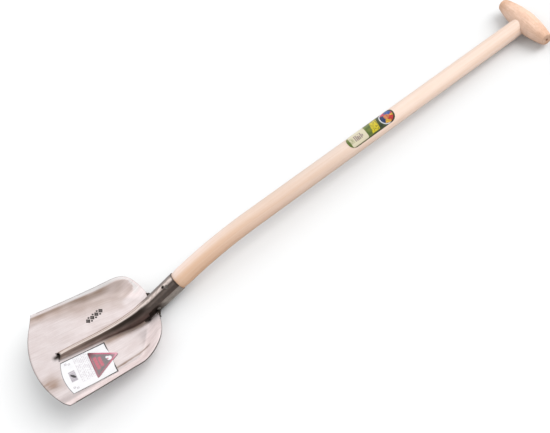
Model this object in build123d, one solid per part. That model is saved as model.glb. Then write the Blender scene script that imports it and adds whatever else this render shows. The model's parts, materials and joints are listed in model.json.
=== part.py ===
from build123d import *
import math
import os

# Flat-ended scoop shovel with a bent ash shaft and a turned crossbar grip.
# Everything is drawn in the blade's own frame and laid down at the end:
#   X runs from the cutting edge to the grip, Y across, Z out of the hollow side of the blade,
#   and Z = 0 is the inner face of the flat middle of the blade.

# ---- blade: a dished sheet, all sizes in mm ----
sheet_drop = 2.2            # thickness of the sheet, measured along Z
edge_chord_half = 124.0     # half the width between the two front corners
edge_bulge = 38.5           # how far the cutting edge bows ahead of the corners
shoulder_start_x = 140.0    # the sides run straight to here, then curve in
shoulder_half = 114.5       # half width where the shoulders begin
blade_rear_x = 229.0        # rear rim, where the socket leaves the blade
shoulder_length = 90.0      # semi-axis of the shoulder curve along X
shoulder_power = 2.6        # squareness of the shoulder curve
rise_start_x = 165.0        # the floor is flat up to here
rise_radius = 110.0         # and then curves up to the rear rim
front_extra = 42.0          # sheet drawn ahead of the corners, before the edge is cut
rim_front = 8.2             # height of the rim at the front
rim_climb = 7.3             # what it gains over the next rim_length
rim_length = 150.0
shoulder_lift = 9.6         # extra height round the shoulders
shoulder_lift_x = 158.0
shoulder_lift_length = 48.0
rear_dip = 10.2             # drop of the rim towards the socket
rear_dip_x = 207.0
rear_dip_length = 27.0
flat_front = 97.0           # half width of the flat middle at the front
flat_taper = 16.0           # what it loses over rim_length
flat_close = 62.0           # and what it loses round the shoulders
flat_close_length = 75.0
flat_share = 0.8            # the flat never takes more of the half width than this

# ---- rib and socket: one hollow ridge that grows into a tube ----
ridge_sections = (          # x, height of the centre, half width, height of the oval
    (13.0, 0.0, 10.0, 7.5),
    (60.0, 0.0, 11.5, 9.5),
    (112.0, 0.0, 12.5, 11.5),
    (152.0, 1.5, 14.5, 15.0),
    (188.0, 6.0, 17.5, 20.0),
)
ridge_top_end_x = 220.0     # the ridge proper runs to here, inside the start of the socket
socket_top_start_x = 200.0
hollow_start_x = 45.0       # ahead of this the floor is closed under the ridge
shell = 1.8                 # wall of the ridge and of the socket
mouth_x = 291.4             # centre of the socket mouth
mouth_z = 55.8
socket_lift = 28.3          # degrees between the socket's axis and the blade
mouth_radius = 20.8
base_radius = 19.8          # outer radius where the socket meets the rear rim
socket_length = 70.0        # straight cone from there to the mouth
split_above_axis = 8.3      # front and back halves meet in this plane above the axis
back_start_x = 212.0        # the back half comes round the sides from here to the mouth
gap = 0.15                  # clearance between parts that are pressed or welded together
tongue_start_x = 150.0      # the back plate reaches this far under the blade
tongue_half = 24.0
tongue_nose_half = 6.0      # its blunt end
tongue_taper = 22.0         # it widens over this length
tongue_waist = 0.7          # to this share of its full width
wing_half = 34.5            # half width of the back plate at the rear rim
wing_over = 2.5             # how far its two tips stand past the rim
wing_tip = 7.0              # width of each tip
wing_touch = 14.0           # it lies against the curve of the floor this far ahead of the rim
wing_front = 20.0           # and reaches this far ahead of that
wing_narrow = 3.0           # narrower by this just ahead of the rim
plate = 1.8

# ---- shaft: bent ash, tapered from socket to grip ----
shaft_radius_low = 20.0
shaft_radius_high = 16.7
entry_length = 14.0         # length over which the wood swells from the socket's bore
straight_low = 24.4         # straight run from the mouth to the bend
bend_radius = 836.0
bend_angle = 11.64          # degrees
shaft_run = 871.6           # from the socket mouth to the axis of the crossbar
seat_depth = 80.0           # wood inside the socket
seat_tip_radius = 11.5

# ---- crossbar grip ----
bar_half = 70.0
bar_radius = 21.4
bar_crown = 257.0           # radius of the barrel curve along the bar
bar_round = 3.5             # rounded corner at each end
tenon_radius = 12.5
tenon_proud = 0.6           # how far its end stands out of the bar
tenon_root = 20.0           # how far it is rooted in the shaft
tenon_fit = 0.05
kerf = 2.4                  # saw cut in the tenon that takes the wedge
kerf_depth = 24.0
wedge_short = 1.5           # the wedge stops this far above the bottom of the cut
wedge_inset = 1.5           # and is this much narrower than the tenon on each side
wedge_slack = 0.1

# ---- fixings ----
head_radius = 4.2
head_height = 2.0
shank_radius = 1.6
shank_length = 17.0
shank_in_head = 0.5         # the shank starts this far inside the head
shank_clearance = 0.05
hole_overrun = 2.0          # each hole runs this far beyond both ends of the shank
nail_hole_radius = 2.0
front_nail_back = 21.0     # distance from the mouth, along the socket
nail_hole_back = 27.5
nail_hole_turn = 5.0        # degrees round from the ridge line
front_nail_turn = 20.0     # degrees round from the ridge line
side_nail_back = 64.0
seat_gap = 0.1              # the nail heads stand this far off the round of the socket

# ---- labels ----
paper = 0.3
paper_lift = 0.02           # gap under each of them
label_length = 95.0
label_width = 81.0
label_centre = (61.5, -56.8)
label_bulge = 7.0           # the end nearer the cutting edge is an arc
triangle_points = ((69.0, -22.0), (125.0, -55.5), (68.0, -91.0))
sticker_length = 112.0
sticker_arc = 105.0         # degrees of the shaft that it wraps
sticker_turn = -10.0        # degrees round from the top of the shaft
sticker_centre_run = 493.0  # distance from the socket mouth

# ---- cutting blocks ----
big = 400.0                 # wider than the blade
cut_depth = 100.0           # deeper than the blade and its socket stand above the floor


def half_width(x):
    """Half the width of the blade at x."""
    if x < shoulder_start_x:
        side_slope = (edge_chord_half - shoulder_half) / shoulder_start_x
        return edge_chord_half - side_slope * x
    t = min((x - shoulder_start_x) / shoulder_length, 1.0)
    return shoulder_half * (1 - t ** shoulder_power) ** (1 / shoulder_power)


def floor_height(x):
    """Height of the middle of the blade at x."""
    if x < rise_start_x:
        return 0.0
    return rise_radius - math.sqrt(rise_radius ** 2 - (x - rise_start_x) ** 2)


def smooth_step(t):
    t = min(max(t, 0.0), 1.0)
    return t * t * (3 - 2 * t)


def rim_height(x):
    """Height of the rim at x: low in front, highest at the shoulders."""
    side = rim_front + rim_climb * (max(x, 0.0) / rim_length) ** 1.5
    shoulder = shoulder_lift * smooth_step((x - shoulder_lift_x) / shoulder_lift_length)
    rear = rear_dip * smooth_step((x - rear_dip_x) / rear_dip_length)
    return side + shoulder - rear


def flat_half(x):
    """Half width of the flat middle before the side walls curve up."""
    close = flat_close * smooth_step((x - rim_length) / flat_close_length)
    return flat_front - flat_taper * x / rim_length - close


def surface_point(x, across):
    """A point on the inner face; across runs from -1 to 1 between the rims."""
    half = half_width(x)
    flat = min(flat_half(x), half * flat_share)
    y = across * half
    climb = max(abs(y) - flat, 0.0) / (half - flat)
    z = floor_height(x) + (rim_height(x) - floor_height(x)) * climb ** 2
    return Vector(x, y, z)


def blade_stations():
    """Distances along the blade, closer together where the shoulders turn in."""
    front = [-front_extra + i * (shoulder_start_x + front_extra) / 8 for i in range(8)]
    turn = [i * math.pi / 2 / 8 for i in range(8)]
    rear_span = blade_rear_x - shoulder_start_x
    return front + [shoulder_start_x + rear_span * math.sin(a) for a in turn] + [blade_rear_x]


def inner_face():
    steps = 16
    rows = []
    for x in blade_stations():
        rows.append([surface_point(x, -1 + 2 * i / steps) for i in range(steps + 1)])
    return Face.make_surface_from_array_of_points(rows, tol=0.1, min_deg=3, max_deg=3)


def front_cutter():
    """Everything ahead of the bowed cutting edge."""
    radius = (edge_chord_half ** 2 + edge_bulge ** 2) / (2 * edge_bulge)
    disc = Pos(radius - edge_bulge, 0, 0) * Cylinder(radius, 2 * cut_depth)
    slab = Pos(-big / 2, 0, 0) * Box(big, big, cut_depth)
    return slab - disc


lift = math.radians(socket_lift)
axis_dir = Vector(math.cos(lift), 0, math.sin(lift))
axis_up = Vector(-math.sin(lift), 0, math.cos(lift))
mouth = Vector(mouth_x, 0, mouth_z)


def on_socket(back, out=0.0, turn=0.0):
    """A point a distance back from the mouth; turn is degrees from the top towards +Y."""
    radial = axis_up * math.cos(math.radians(turn)) + Vector(0, 1, 0) * math.sin(math.radians(turn))
    return mouth - axis_dir * back + radial * out


def cone_radius(back):
    """Outer radius of the socket a distance back from the mouth."""
    return mouth_radius + (base_radius - mouth_radius) * back / socket_length


def oval(origin, x_dir, normal, across, high):
    face_plane = Plane(origin=origin, x_dir=x_dir, z_dir=normal)
    return face_plane * Ellipse(across, high)


def ridge(inset):
    """The hollow ridge and socket as one solid, drawn in by inset."""
    sections = []
    for x, z, across, high in ridge_sections:
        sections.append(oval((x, 0, z), (0, 1, 0), (1, 0, 0), across - inset, high - inset))
    side = Vector(0, 1, 0)
    base = oval(on_socket(socket_length), side, axis_dir, base_radius - inset, base_radius - inset)
    top = oval(mouth, side, axis_dir, mouth_radius - inset, mouth_radius - inset)
    return loft([*sections, base]) + loft([base, top])


def above_split(shift):
    """Half space above the plane where the two socket halves meet."""
    middle = on_socket(socket_length / 2, split_above_axis + shift)
    slab_plane = Plane(origin=middle, x_dir=(0, 1, 0), z_dir=axis_up)
    return slab_plane * Pos(0, 0, cut_depth) * Box(big, big, 2 * cut_depth)


def column(x_low, x_high):
    """Everything between two distances along the blade."""
    return Pos((x_low + x_high) / 2, 0, 0) * Box(x_high - x_low, big, big)


def bar_solid():
    """The turned crossbar about the Y axis, centred on the origin."""
    end_radius = bar_radius - (bar_crown - math.sqrt(bar_crown ** 2 - bar_half ** 2))
    with BuildPart() as bar:
        with BuildSketch(Plane.XY):
            with BuildLine():
                crown = ThreePointArc((end_radius, -bar_half), (bar_radius, 0), (end_radius, bar_half))
                Polyline(crown @ 1, (0, bar_half), (0, -bar_half), crown @ 0)
            make_face()
        revolve(axis=Axis.Y)
        fillet(bar.edges().filter_by(GeomType.CIRCLE).filter_by(lambda e: abs(e.center().Y) > bar_half - 1),
               bar_round)
    return bar.part


def run_frame(run):
    """Centre and direction of the shaft at a distance from the socket mouth."""
    turned = min(max(run - straight_low, 0.0), bend_radius * math.radians(bend_angle))
    angle = lift - turned / bend_radius
    start = mouth + axis_dir * min(run, straight_low)
    if turned <= 0:
        return start, axis_dir
    centre = start + Vector(math.sin(lift), 0, -math.cos(lift)) * bend_radius
    point = centre + Vector(-math.sin(angle), 0, math.cos(angle)) * bend_radius
    direction = Vector(math.cos(angle), 0, math.sin(angle))
    beyond = max(run - straight_low - turned, 0.0)
    return point + direction * beyond, direction


def shaft_radius(run):
    full = shaft_radius_low + (shaft_radius_high - shaft_radius_low) * run / shaft_run
    bore = mouth_radius - shell - gap
    swell = smooth_step(run / entry_length)
    return bore + (full - bore) * swell


def disc_at(run, radius):
    centre, direction = run_frame(run)
    return Plane(origin=centre, x_dir=(0, 1, 0), z_dir=direction) * Circle(radius)


grip_centre, grip_dir = run_frame(shaft_run)
grip_plane = Plane(origin=grip_centre, x_dir=(0, 1, 0), z_dir=grip_dir)


def placed_bar():
    bar_plane = Plane(origin=grip_centre, x_dir=grip_dir, z_dir=Vector(-grip_dir.Z, 0, grip_dir.X))
    return bar_plane * bar_solid()


def make_shaft():
    low = [disc_at(r, shaft_radius(r)) for r in (0.0, entry_length * 0.5, entry_length, straight_low)]
    bend_run = bend_radius * math.radians(bend_angle)
    bend = [disc_at(straight_low + bend_run * i / 4, shaft_radius(straight_low + bend_run * i / 4))
            for i in range(1, 5)]
    body = loft(low) + loft([low[-1]] + bend) + loft([bend[-1], disc_at(shaft_run, shaft_radius(shaft_run))])
    bore_base = base_radius - shell - gap
    bore_mouth = mouth_radius - shell - gap
    base, top, tip = (
        Plane(origin=on_socket(back), x_dir=(0, 1, 0), z_dir=axis_dir) * Circle(radius)
        for back, radius in ((socket_length, bore_base), (0, bore_mouth), (seat_depth, seat_tip_radius))
    )
    body = body + loft([tip, base]) + loft([base, top])
    body = body - placed_bar()
    tenon_end = bar_radius + tenon_proud
    tenon = grip_plane * Pos(0, 0, -tenon_root) * extrude(Circle(tenon_radius), tenon_root + tenon_end)
    kerf_box = grip_plane * Pos(0, 0, tenon_end - kerf_depth / 2) * Box(3 * tenon_radius, kerf, kerf_depth)
    return body + tenon - kerf_box


def make_wedge():
    """A thin hardwood wedge that fills the saw cut in the tenon."""
    length = kerf_depth - wedge_short
    base = grip_plane * Pos(0, 0, bar_radius + tenon_proud - length / 2)
    return base * Box(2 * (tenon_radius - wedge_inset), kerf - wedge_slack, length)


def make_grip():
    hole = grip_plane * Cylinder(tenon_radius + tenon_fit, 3 * bar_radius)
    return placed_bar() - hole


def nail(point, outward):
    """A round-headed nail: a domed head and a plain shank."""
    seat = Plane(origin=point, z_dir=outward)
    dome_radius = (head_radius ** 2 + head_height ** 2) / (2 * head_height)
    dome = Pos(0, 0, head_height - dome_radius) * Sphere(dome_radius)
    dome = dome & (Pos(0, 0, head_height) * Box(3 * head_radius, 3 * head_radius, head_height * 2))
    shank_middle = (shank_in_head - shank_length) / 2
    shank = Pos(0, 0, shank_middle) * Cylinder(shank_radius, shank_length + shank_in_head)
    return seat * (dome + shank)


def shank_hole(point, outward, radius):
    drill = Pos(0, 0, -shank_length / 2) * Cylinder(radius, shank_length + 2 * hole_overrun)
    return Plane(origin=point, z_dir=outward) * drill


def make_blade(sheet, outer, inner, outer_clear):
    above_floor = extrude(inner_skin, cut_depth, dir=(0, 0, 1)).moved(Location((0, 0, -sheet_drop / 2)))
    ridge_top = outer & above_floor & column(0, ridge_top_end_x)
    socket_top = outer & above_split(0) & column(socket_top_start_x, big)
    blade = sheet + ridge_top + socket_top
    closed_end = Pos(0, 0, -cut_depth / 2) * Box(2 * hollow_start_x, 2 * tongue_half, cut_depth)
    blade = blade - (inner - closed_end)
    behind = column(back_start_x, big) - above_split(0)
    blade = blade - (outer_clear & behind)
    blade = blade - front_cutter()
    for point, outward, radius in fixing_places():
        blade = blade - shank_hole(point, outward, radius)
    return blade


def make_back(outer, inner):
    """The rear half of the socket, its wings behind the rear rim and its tongue under the blade."""
    under = -sheet_drop - gap - plate
    slab = Pos(0, 0, under + cut_depth) * Box(2 * big, big, 2 * cut_depth)
    shell_half = (outer - inner) & column(back_start_x + gap, big) & slab
    shell_half = shell_half - above_split(-gap)
    tongue_outline = Polyline(
        (tongue_start_x, -tongue_nose_half),
        (tongue_start_x + tongue_taper, -tongue_half * tongue_waist),
        (back_start_x, -tongue_half),
        (mouth_x, -tongue_half),
        (mouth_x, tongue_half),
        (back_start_x, tongue_half),
        (tongue_start_x + tongue_taper, tongue_half * tongue_waist),
        (tongue_start_x, tongue_nose_half),
        close=True,
    )
    tongue = Pos(0, 0, under) * extrude(make_face(tongue_outline), plate)
    tongue = tongue & (outer + column(0, back_start_x + 2 * plate))
    back = shell_half + tongue + (make_wings() - inner)
    for point, outward, radius in fixing_places()[2:]:
        back = back - shank_hole(point, outward, radius)
    return back


def make_wings():
    """A flat plate behind the rear rim, tangent to the curve of the floor, with two tips past the rim."""
    touch_x = blade_rear_x - wing_touch
    slope = math.asin((touch_x - rise_start_x) / rise_radius)
    wing_plane = Plane(
        origin=(touch_x, 0, floor_height(touch_x) - sheet_drop - gap),
        x_dir=(0, 1, 0),
        z_dir=(-math.sin(slope), 0, math.cos(slope)),
    )
    rim_at = (blade_rear_x - touch_x) / math.cos(slope)
    outline = Polyline(
        (-tongue_half, wing_front),
        (wing_narrow - wing_half, plate - rim_at),
        (-wing_half, -rim_at - wing_over),
        (wing_tip - wing_half, -rim_at - wing_over),
        (-base_radius, -rim_at),
        (base_radius, -rim_at),
        (wing_half - wing_tip, -rim_at - wing_over),
        (wing_half, -rim_at - wing_over),
        (wing_half - wing_narrow, plate - rim_at),
        (tongue_half, wing_front),
        close=True,
    )
    return wing_plane * extrude(make_face(outline), -plate)


def fixing_places():
    """Where each nail goes in: a point on the outside, the outward direction and the hole's radius."""
    places = []
    front_turn = math.radians(front_nail_turn)
    front_out = axis_up * math.cos(front_turn) - Vector(0, 1, 0) * math.sin(front_turn)
    front_at = on_socket(front_nail_back, cone_radius(front_nail_back) + seat_gap, -front_nail_turn)
    places.append((front_at, front_out, shank_radius + shank_clearance))
    hole_turn = math.radians(nail_hole_turn)
    hole_out = axis_up * math.cos(hole_turn) - Vector(0, 1, 0) * math.sin(hole_turn)
    hole_at = on_socket(nail_hole_back, cone_radius(nail_hole_back), -nail_hole_turn)
    places.append((hole_at, hole_out, nail_hole_radius))
    for side in (-1, 1):
        side_at = on_socket(side_nail_back, cone_radius(side_nail_back) + seat_gap, 90 * side)
        places.append((side_at, Vector(0, side, 0), shank_radius + shank_clearance))
    return places


def make_card():
    """The paper card stuck to the flat of the blade beside the ridge."""
    x_mid, y_mid = label_centre
    x_low = x_mid - label_length / 2
    x_high = x_mid + label_length / 2
    y_low = y_mid - label_width / 2
    y_high = y_mid + label_width / 2
    outline = Polyline((x_low, y_low), (x_high, y_low), (x_high, y_high), (x_low, y_high))
    end = ThreePointArc((x_low, y_high), (x_low - label_bulge, y_mid), (x_low, y_low))
    face = make_face(Wire([*outline.edges(), *end.edges()]))
    return face


def draped(face, lift_by):
    """A thin sheet of the given outline that follows the inner face of the blade."""
    column_solid = Pos(0, 0, -cut_depth / 2) * extrude(face, cut_depth)
    layer = extrude(inner_skin, paper, dir=(0, 0, 1)).moved(Location((0, 0, lift_by)))
    return layer & column_solid


def make_sticker():
    """A paper sticker wrapped round the front of the shaft."""
    half = sticker_length / 2
    runs = (sticker_centre_run - half, sticker_centre_run + half)
    centre, direction = run_frame(runs[0])
    low = shaft_radius(runs[0]) + paper_lift
    high = shaft_radius(runs[1]) + paper_lift
    plane = Plane(origin=centre, x_dir=(0, 1, 0), z_dir=direction)
    outer = loft([Circle(low + paper), Pos(0, 0, sticker_length) * Circle(high + paper)])
    inner = loft([Circle(low), Pos(0, 0, sticker_length) * Circle(high)])
    reach = math.radians(sticker_arc / 2)
    wedge_points = [(0, 0)]
    beyond = 3 * shaft_radius_low
    for i in range(9):
        angle = -reach + 2 * reach * i / 8
        wedge_points.append((beyond * math.sin(angle), beyond * math.cos(angle)))
    sector = extrude(make_face(Polyline(*wedge_points, close=True)), sticker_length)
    turned = Rot(0, 0, -sticker_turn) * sector
    return plane * ((outer - inner) & turned)


def lying_tilt():
    """Angle that brings the heel and the middle of the crossbar to one level."""
    heel_x, heel_z = heel_point()
    run = grip_centre.X - heel_x
    rise = grip_centre.Z - heel_z
    return math.atan2(rise, run) - math.asin(bar_radius / math.hypot(run, rise))


def heel_point():
    """The lowest bend at the back of the socket, where the spade touches the ground."""
    under = -sheet_drop - gap - plate
    on_back = on_socket(socket_length, -base_radius)
    back = (on_back.Z - under) / math.sin(lift)
    return on_back.X - back * math.cos(lift), under


inner_skin = inner_face()
outer_ridge = ridge(0.0)
inner_ridge = ridge(shell)
clear_ridge = ridge(-gap)
sheet = extrude(inner_skin, sheet_drop, dir=(0, 0, -1))

blade = make_blade(sheet, outer_ridge, inner_ridge, clear_ridge)
socket_back = make_back(outer_ridge, inner_ridge)
shaft = make_shaft()
for point, outward, radius in (fixing_places()[0], *fixing_places()[2:]):
    shaft = shaft - shank_hole(point, outward, radius)

nodes = {
    "blade": blade,
    "socket_back": socket_back,
    "shaft": shaft,
    "grip": make_grip(),
    "tenon_wedge": make_wedge(),
    "socket_nail": nail(*fixing_places()[0][:2]),
    "left_side_nail": nail(*fixing_places()[2][:2]),
    "right_side_nail": nail(*fixing_places()[3][:2]),
    "blade_label": draped(make_card(), paper_lift),
    "triangle_sticker": draped(make_face(Polyline(*triangle_points, close=True)), 2 * paper_lift + paper),
    "shaft_sticker": make_sticker(),
}

tilt = lying_tilt()
tilted = {name: Rot(0, math.degrees(tilt), 0) * solid for name, solid in nodes.items()}
box = Compound(children=[Compound(s.solids()) for s in tilted.values()]).bounding_box()
to_ground = Location((-(box.min.X + box.max.X) / 2, 0, -box.min.Z))

os.makedirs("parts", exist_ok=True)
for name, solid in tilted.items():
    export_step(solid.moved(to_ground), f"parts/{name}.step")
print("tilt", math.degrees(tilt), "shift", to_ground.position)
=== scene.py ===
"""Garden spade: the looks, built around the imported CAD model.

Shapes are worked out in the blade's own frame, in millimetres, as the CAD has them:
X runs from the cutting edge to the grip, Y across, Z out of the hollow side of the blade.
The mount on the back plate says where that frame lies in the row frame.
"""
import json
import math
import random

import bpy
import numpy as np
from mathutils import Matrix, Vector, noise


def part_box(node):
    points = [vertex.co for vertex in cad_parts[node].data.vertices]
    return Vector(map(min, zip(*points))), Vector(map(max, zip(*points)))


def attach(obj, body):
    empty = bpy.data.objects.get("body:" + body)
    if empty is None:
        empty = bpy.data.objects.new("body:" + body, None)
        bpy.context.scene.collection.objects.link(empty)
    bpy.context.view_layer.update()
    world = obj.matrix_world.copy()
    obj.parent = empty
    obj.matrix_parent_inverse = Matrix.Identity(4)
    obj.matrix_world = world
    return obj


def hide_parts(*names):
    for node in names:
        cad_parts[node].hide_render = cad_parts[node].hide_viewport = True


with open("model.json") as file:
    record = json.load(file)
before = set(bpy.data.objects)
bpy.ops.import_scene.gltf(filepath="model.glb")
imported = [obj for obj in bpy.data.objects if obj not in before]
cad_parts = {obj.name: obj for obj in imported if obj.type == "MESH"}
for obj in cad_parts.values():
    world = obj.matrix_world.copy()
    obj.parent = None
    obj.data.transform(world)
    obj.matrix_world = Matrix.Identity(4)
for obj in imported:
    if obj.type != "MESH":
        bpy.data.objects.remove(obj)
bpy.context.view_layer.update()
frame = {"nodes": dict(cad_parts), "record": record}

MM = 0.001

# ---- blade, socket and shaft sizes, the same as the CAD's, in mm ----
EDGE_CHORD_HALF = 124.0
EDGE_BULGE = 38.5
EDGE_ROUND = 0.7            # the rounded edge of the sheet stands this far outside its skin
SHOULDER_START = 140.0
SHOULDER_HALF = 114.5
SHOULDER_LENGTH = 90.0
SHOULDER_POWER = 2.6
REAR_RIM = 229.0
RISE_START = 165.0
RISE_RADIUS = 110.0
RIM_FRONT = 8.2             # height of the rim at the front
RIM_CLIMB = 7.3             # what it gains over the next RIM_LENGTH
RIM_LENGTH = 150.0
SHOULDER_LIFT = 9.6         # extra height round the shoulders, from SHOULDER_LIFT_X on
SHOULDER_LIFT_X = 158.0
SHOULDER_LIFT_LENGTH = 48.0
REAR_DIP = 10.2             # drop of the rim towards the socket
REAR_DIP_X = 207.0
REAR_DIP_LENGTH = 27.0
FLAT_FRONT = 97.0           # half width of the flat middle at the front
FLAT_TAPER = 16.0           # what it loses over RIM_LENGTH
FLAT_CLOSE = 62.0           # and what it loses round the shoulders
FLAT_CLOSE_LENGTH = 75.0
FLAT_SHARE = 0.8            # the flat never takes more of the half width than this
SHEET = 2.0
MOUTH = Vector((291.4, 0, 55.8))
SOCKET_LIFT = math.radians(28.3)
MOUTH_RADIUS = 20.8
BASE_RADIUS = 19.8
SOCKET_LENGTH = 70.0
SPLIT_ABOVE_AXIS = 8.3
BACK_START = 212.0
NAIL_HOLE_BACK = 27.5
NAIL_HOLE_TURN = math.radians(-5.0)
NAIL_HOLE_RADIUS = 2.0
NAIL_BACK = 21.0
NAIL_TURN = math.radians(-20.0)
SHAFT_LOW = 20.0
SHAFT_HIGH = 16.7
ENTRY = 14.0
STRAIGHT_LOW = 24.4
BEND_RADIUS = 836.0
BEND_ANGLE = math.radians(11.64)
SHAFT_RUN = 871.6
SEAT_DEPTH = 80.0
SEAT_TIP = 11.5
BAR_HALF = 70.0
BAR_RADIUS = 21.4
BAR_CROWN = 257.0
BAR_ROUND = 3.5
TENON_RADIUS = 12.5
KERF = 2.4
PLATE_POINT = Vector((190.0, 0.0, -4.15))   # the mount on the back plate, in the blade's frame

AXIS = Vector((math.cos(SOCKET_LIFT), 0, math.sin(SOCKET_LIFT)))
AXIS_UP = Vector((-math.sin(SOCKET_LIFT), 0, math.cos(SOCKET_LIFT)))
SIDE = Vector((0, 1, 0))


def blade_frame():
    """Matrix from the blade's own frame to the row frame, both in metres."""
    mount = next(m for m in frame["record"]["mounts"] if m["name"] == "back_plate_face")
    up = -Vector(mount["axis"]).normalized()
    turn = Matrix((SIDE.cross(up), SIDE, up)).transposed()
    offset = Vector(mount["pos_m"]) - turn @ (PLATE_POINT * MM)
    return Matrix.Translation(offset) @ turn.to_4x4()


TO_ROW = blade_frame()


# ---------------------------------------------------------------- small tools

def srgb(red, green, blue):
    """Linear colour from 0 to 255 display values."""
    def one(v):
        v = v / 255
        return v / 12.92 if v <= 0.04045 else ((v + 0.055) / 1.055) ** 2.4
    return Vector((one(red), one(green), one(blue)))


def clamp(value, low, high):
    return min(max(value, low), high)


def smooth_step(t):
    t = clamp(t, 0.0, 1.0)
    return t * t * (3 - 2 * t)


def ease_in(value, start, width):
    """0 below start, rising smoothly to 1 a width further on."""
    return smooth_step((value - start) / width)


def ease_out(value, start, width):
    """1 below start, falling smoothly to 0 a width further on."""
    return 1 - smooth_step((value - start) / width)


def bump_at(t, centre, width):
    """1 at centre, falling smoothly to 0 a width away on each side."""
    return smooth_step(1 - abs(t - centre) / width)


def mix(a, b, t):
    return a + (b - a) * clamp(t, 0.0, 1.0)


def layered(colour, *layers):
    """The colour with each (other colour, share) mixed over it in turn."""
    for other, share in layers:
        colour = mix(colour, other, share)
    return colour


def turns(count):
    """Evenly spaced angles once round."""
    return [math.tau * i / count for i in range(count)]


def spoke(angle, up, side):
    """Unit vector an angle from up towards side."""
    return up * math.cos(angle) + side * math.sin(angle)


def socket_point(back, angle, radius):
    """A point round the socket's axis, a distance back from the mouth."""
    return MOUTH - AXIS * back + spoke(angle, AXIS_UP, SIDE) * radius


def natural_spline(knots, values):
    """Natural cubic through the values, as a function of the knots' parameter."""
    x = np.array(knots, float)
    y = np.array(values, float)
    h = np.diff(x)
    n = len(x)
    left = np.eye(n)
    right = np.zeros(n)
    for i in range(1, n - 1):
        left[i, i - 1:i + 2] = (h[i - 1], 2 * (h[i - 1] + h[i]), h[i])
        right[i] = 6 * ((y[i + 1] - y[i]) / h[i] - (y[i] - y[i - 1]) / h[i - 1])
    m = np.linalg.solve(left, right)

    def at(t):
        i = int(np.clip(np.searchsorted(x, t) - 1, 0, n - 2))
        a = (x[i + 1] - t) / h[i]
        b = (t - x[i]) / h[i]
        bend = ((a ** 3 - a) * m[i] + (b ** 3 - b) * m[i + 1]) * h[i] ** 2 / 6
        return float(a * y[i] + b * y[i + 1] + bend)
    return at


def add_object(name, data):
    made = bpy.data.objects.new(name, data)
    bpy.context.scene.collection.objects.link(made)
    return made


def make_object(name, points, faces):
    """A mesh object from points in the blade's frame, in mm, riding the one body."""
    mesh = bpy.data.meshes.new(name)
    mesh.from_pydata([TO_ROW @ (Vector(p) * MM) for p in points], [], faces)
    mesh.validate()
    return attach(add_object(name, mesh), "root")


def add_colours(made, name, colours):
    layer = made.data.attributes.new(name, "FLOAT_COLOR", "POINT")
    flat = [c for colour in colours for c in (*colour, 1.0)]
    layer.data.foreach_set("color", flat)


def add_numbers(made, name, numbers):
    layer = made.data.attributes.new(name, "FLOAT", "POINT")
    layer.data.foreach_set("value", numbers)


def add_vectors(made, name, vectors):
    layer = made.data.attributes.new(name, "FLOAT_VECTOR", "POINT")
    layer.data.foreach_set("vector", [c for v in vectors for c in v])


def settle(made, sharp=35.0):
    """Applies the modifiers and shades smooth, creased where faces meet at more than sharp degrees."""
    graph = bpy.context.evaluated_depsgraph_get()
    final = bpy.data.meshes.new_from_object(made.evaluated_get(graph))
    made.modifiers.clear()
    made.data = final
    shade(made, sharp)
    return made


def shade(made, sharp=35.0):
    made.data.polygons.foreach_set("use_smooth", [True] * len(made.data.polygons))
    made.data.set_sharp_from_angle(angle=math.radians(sharp))


def thicken(made, thickness, edge_round=0.35):
    solid = made.modifiers.new("sheet", "SOLIDIFY")
    solid.thickness = thickness * MM
    solid.offset = -1
    solid.use_even_offset = True
    if edge_round:
        bevel = made.modifiers.new("edge", "BEVEL")
        bevel.width = edge_round * MM
        bevel.segments = 2
        bevel.limit_method = "ANGLE"
        bevel.angle_limit = math.radians(50)


def grid_faces(rows, columns, closed=False):
    """Faces of a grid numbered row by row; closed joins the last column to the first."""
    faces = []
    for i in range(rows - 1):
        for j in range(columns if closed else columns - 1):
            k = (j + 1) % columns
            here, below = i * columns, (i + 1) * columns
            faces.append((here + j, below + j, below + k, here + k))
    return faces


# ---------------------------------------------------------------- materials

def new_material(name):
    material = bpy.data.materials.new(name)
    material.use_nodes = True
    return material, material.node_tree


def surface(material, colour, rough, normal, **settings):
    """Connects a material's colour, roughness and bump, and sets what is the same all over."""
    tree = material.node_tree
    inputs = tree.nodes["Principled BSDF"].inputs
    for name, socket in (("Base Color", colour), ("Roughness", rough), ("Normal", normal)):
        if socket:
            tree.links.new(socket, inputs[name])
    for name, value in settings.items():
        inputs[name.replace("_", " ")].default_value = value
    return material


def noise_node(tree, place, scale, detail=3.0, roughness=0.5, distortion=0.0):
    """Noise over the place; three scales stretch it along the axes."""
    if isinstance(scale, tuple):
        mapping = tree.nodes.new("ShaderNodeMapping")
        mapping.inputs["Scale"].default_value = scale
        tree.links.new(place, mapping.inputs["Vector"])
        place, scale = mapping.outputs["Vector"], 1.0
    node = tree.nodes.new("ShaderNodeTexNoise")
    values = {"Scale": scale, "Detail": detail, "Roughness": roughness, "Distortion": distortion}
    for name, value in values.items():
        node.inputs[name].default_value = value
    tree.links.new(place, node.inputs["Vector"])
    return node.outputs["Fac"]


def ramp(tree, value, *stops):
    """Colour ramp; each stop is (position, colour), the colour three numbers or one for a grey."""
    node = tree.nodes.new("ShaderNodeValToRGB")
    elements = node.color_ramp.elements
    for element, (position, colour) in zip(elements, stops):
        element.position = position
        element.color = (*(colour if isinstance(colour, (tuple, Vector)) else (colour,) * 3), 1.0)
    tree.links.new(value, node.inputs["Fac"])
    return node.outputs["Color"]


def product(tree, *colours):
    """The colour sockets multiplied together."""
    so_far = colours[0]
    for colour in colours[1:]:
        node = tree.nodes.new("ShaderNodeMix")
        node.data_type = "RGBA"
        node.blend_type = "MULTIPLY"
        sockets = {socket.name: socket for socket in node.inputs if socket.enabled}
        sockets["Factor"].default_value = 1.0
        tree.links.new(so_far, sockets["A"])
        tree.links.new(colour, sockets["B"])
        so_far = next(socket for socket in node.outputs if socket.enabled)
    return so_far


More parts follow.
